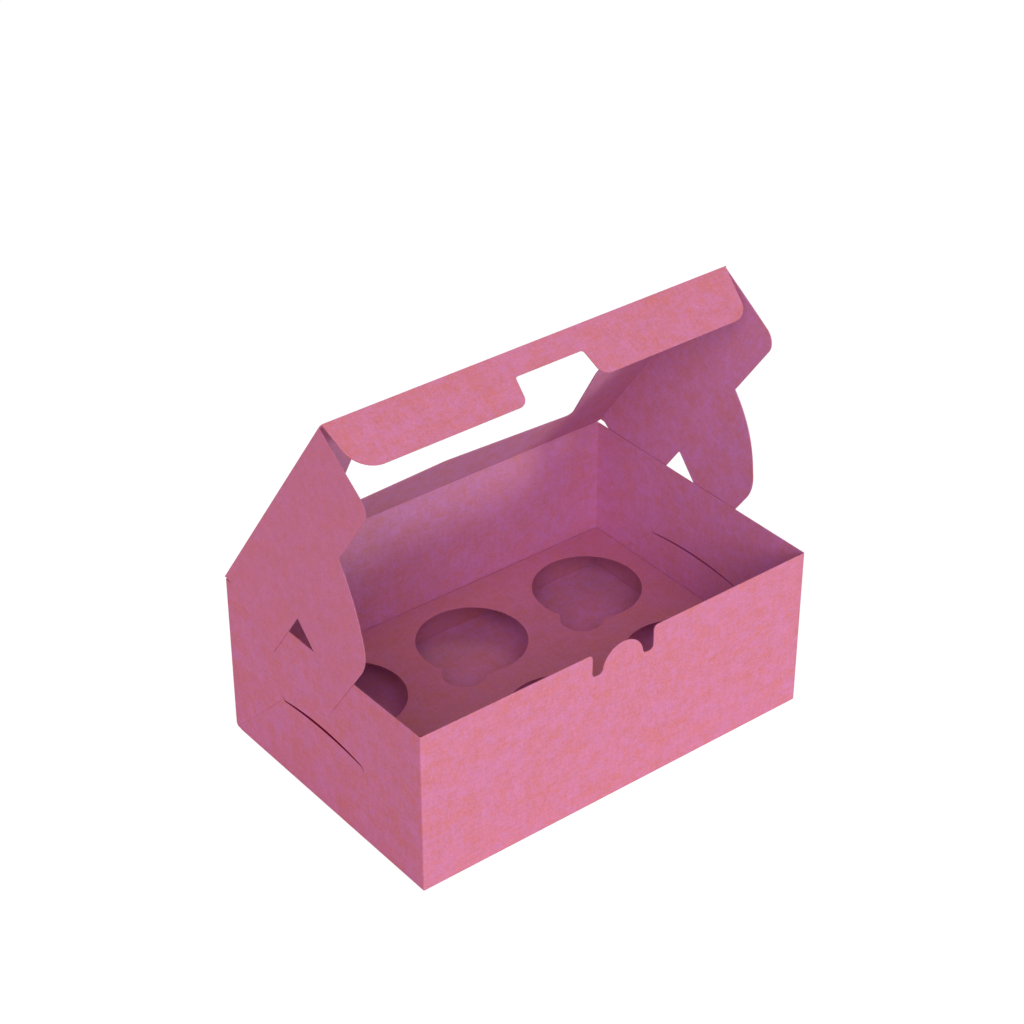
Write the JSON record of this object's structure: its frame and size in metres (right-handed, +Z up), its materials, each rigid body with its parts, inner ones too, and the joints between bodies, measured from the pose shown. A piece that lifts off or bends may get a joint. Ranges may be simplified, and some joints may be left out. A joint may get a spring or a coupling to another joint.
{
  "type": "pastry box",
  "caption": "Folding carton of thin board with a windowed hinged lid, side wings with tongues, a tuck flap and an insert with round holes.",
  "frame": {"origin": "middle of the tray's underside", "axes": "+X to the right along the long front panel, -Y out of the front, +Z up; the lid's hinge is along the back"},
  "size_m": [0.2416, 0.161, 0.2254],
  "materials": {
    "board": "matt dyed board, pink",
    "insert_board": "matt dyed board, pink"
  },
  "bodies": {
    "tray": {"tray": "board", "cupcake_insert": "insert_board"},
    "lid": {"lid_panel": "board"},
    "tuck_flap": {"tuck_flap": "board"},
    "left_wing": {"left_wing": "board"},
    "right_wing": {"right_wing": "board"}
  },
  "joints": [
    {"name": "lid_hinge", "type": "hinge", "parent": "tray", "child": "lid", "pos_m": [0, 0.08025, 0.09305], "axis": [1, 0, 0], "range_deg": [-125, 55]},
    {"name": "tuck_flap_fold", "type": "hinge", "parent": "lid", "child": "tuck_flap", "pos_m": [0, -0.01227, 0.22518], "axis": [1, 0, 0], "range_deg": [-85.5, 4.5]},
    {"name": "left_wing_fold", "type": "hinge", "parent": "lid", "child": "left_wing", "pos_m": [-0.12055, 0.08025, 0.09305], "axis": [0, 0.5736, -0.8192], "range_deg": [0, 90]},
    {"name": "right_wing_fold", "type": "hinge", "parent": "lid", "child": "right_wing", "pos_m": [0.12055, 0.08025, 0.09305], "axis": [0, -0.5736, 0.8192], "range_deg": [0, 90]}
  ]
}
